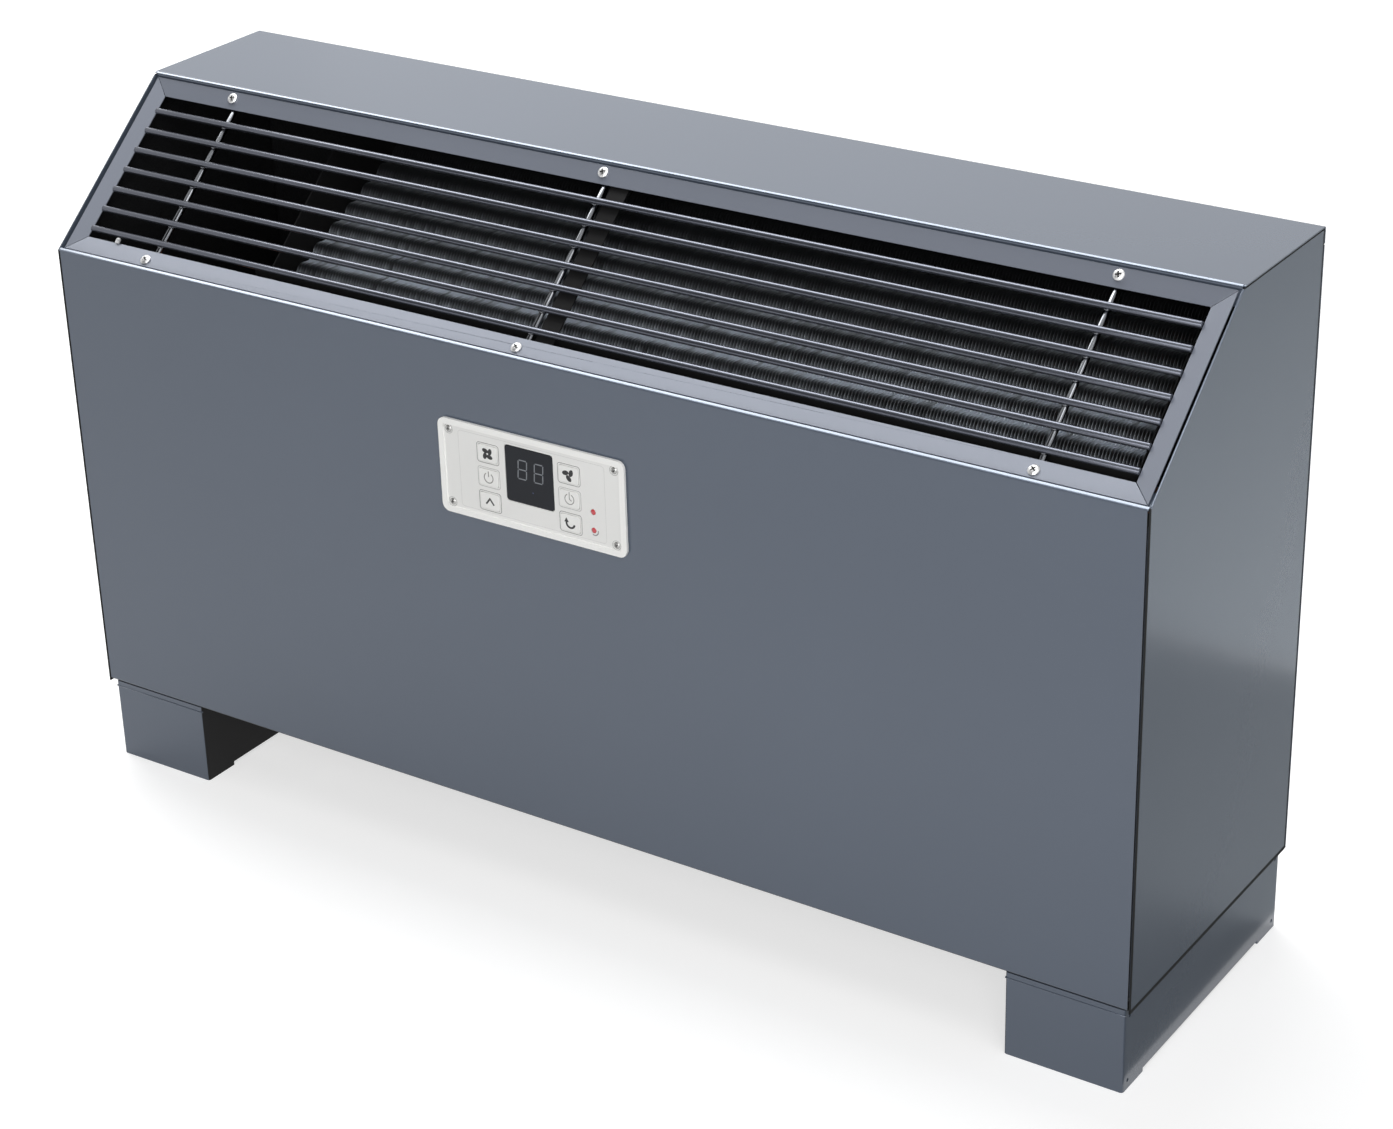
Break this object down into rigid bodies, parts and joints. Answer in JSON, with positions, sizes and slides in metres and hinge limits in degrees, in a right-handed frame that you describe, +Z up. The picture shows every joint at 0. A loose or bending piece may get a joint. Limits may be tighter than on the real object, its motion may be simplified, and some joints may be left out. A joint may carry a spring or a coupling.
{
  "type": "floor standing fan coil air conditioner",
  "caption": "Floor standing fan coil air conditioner: grey sheet metal casing on two feet, sloped wire outlet grille, front control panel, and a water coil, blowers and filter inside.",
  "frame": {"origin": "centre of the bounding box in plan, on the floor", "axes": "+X to the right as seen from the front, +Y from the front to the back, +Z up from the floor"},
  "size_m": [0.9, 0.2476, 0.534],
  "materials": {
    "casing_paint": "satin metallic grey powder coat",
    "frame_paint": "satin metallic grey powder coat, a shade lighter",
    "plated_steel": "bright plated steel",
    "galvanised_steel": "galvanised sheet",
    "white_plastic": "off-white, fine matt texture",
    "button_plastic": null,
    "window": "dark smoked gloss",
    "red_lens": "clear red gloss",
    "circuit_board": "green solder mask",
    "aluminium": "plain finned sheet",
    "copper": null,
    "brass": "cast brass",
    "black_plastic": "black moulded plastic",
    "motor_paint": "black paint",
    "filter_plastic": "dark grey frame and woven mesh"
  },
  "bodies": {
    "cabinet": {"front_panel": "casing_paint", "top_panel": "casing_paint", "left_side_panel": "casing_paint", "right_side_panel": "casing_paint", "back_panel": "casing_paint", "frame_bottom_rail": "frame_paint", "frame_top_rail": "frame_paint", "frame_left_rail": "frame_paint", "frame_right_rail": "frame_paint", "outlet_grille": "plated_steel", "grille_screw_lower_left": "plated_steel", "grille_screw_upper_left": "plated_steel", "grille_screw_lower_middle": "plated_steel", "grille_screw_upper_middle": "plated_steel", "grille_screw_lower_right": "plated_steel", "grille_screw_upper_right": "plated_steel", "outlet_strut": "galvanised_steel", "control_bezel": "white_plastic", "display_window": "window", "indicator_lens_upper": "red_lens", "indicator_lens_lower": "red_lens", "bezel_screw_lower_left": "plated_steel", "bezel_screw_upper_left": "plated_steel", "bezel_screw_lower_right": "plated_steel", "bezel_screw_upper_right": "plated_steel", "control_board": "circuit_board", "left_foot": "casing_paint", "right_foot": "casing_paint", "foot_screw_left_front": "plated_steel", "foot_screw_left_rear": "plated_steel", "foot_screw_right_front": "plated_steel", "foot_screw_right_rear": "plated_steel", "chassis_front_channel": "galvanised_steel", "chassis_rear_channel": "galvanised_steel", "left_bulkhead": "galvanised_steel", "right_bulkhead": "galvanised_steel", "coil_fins": "aluminium", "coil_tubes": "copper", "drain_pan": "galvanised_steel", "fan_deck": "galvanised_steel", "blower_housing_left": "galvanised_steel", "blower_housing_right": "galvanised_steel", "fan_motor": "motor_paint", "motor_cradle": "galvanised_steel", "filter_rail_left": "galvanised_steel", "filter_rail_right": "galvanised_steel", "supply_pipe": "copper", "return_pipe": "copper", "water_valve": "brass", "terminal_box": "black_plastic"},
    "fan_rotor": {"fan_shaft": "plated_steel", "fan_wheel_left": "black_plastic", "fan_wheel_right": "black_plastic"},
    "air_filter": {"air_filter": "filter_plastic"},
    "button_upper_left": {"button_upper_left": "button_plastic"},
    "button_middle_left": {"button_middle_left": "button_plastic"},
    "button_lower_left": {"button_lower_left": "button_plastic"},
    "button_upper_right": {"button_upper_right": "button_plastic"},
    "button_middle_right": {"button_middle_right": "button_plastic"},
    "button_lower_right": {"button_lower_right": "button_plastic"}
  },
  "joints": [
    {"name": "fan_spin", "type": "hinge", "parent": "cabinet", "child": "fan_rotor", "pos_m": [0.068, 0, 0.18], "axis": [1, 0, 0], "continuous": true},
    {"name": "filter_slide", "type": "slide", "parent": "cabinet", "child": "air_filter", "axis": [0, -1, 0], "range_m": [0, 0.2]},
    {"name": "press_upper_left", "type": "slide", "parent": "cabinet", "child": "button_upper_left", "axis": [0, 1, 0], "range_m": [0, 0.0008], "stiffness_N_per_m": 800},
    {"name": "press_middle_left", "type": "slide", "parent": "cabinet", "child": "button_middle_left", "axis": [0, 1, 0], "range_m": [0, 0.0008], "stiffness_N_per_m": 800},
    {"name": "press_lower_left", "type": "slide", "parent": "cabinet", "child": "button_lower_left", "axis": [0, 1, 0], "range_m": [0, 0.0008], "stiffness_N_per_m": 800},
    {"name": "press_upper_right", "type": "slide", "parent": "cabinet", "child": "button_upper_right", "axis": [0, 1, 0], "range_m": [0, 0.0008], "stiffness_N_per_m": 800},
    {"name": "press_middle_right", "type": "slide", "parent": "cabinet", "child": "button_middle_right", "axis": [0, 1, 0], "range_m": [0, 0.0008], "stiffness_N_per_m": 800},
    {"name": "press_lower_right", "type": "slide", "parent": "cabinet", "child": "button_lower_right", "axis": [0, 1, 0], "range_m": [0, 0.0008], "stiffness_N_per_m": 800}
  ]
}
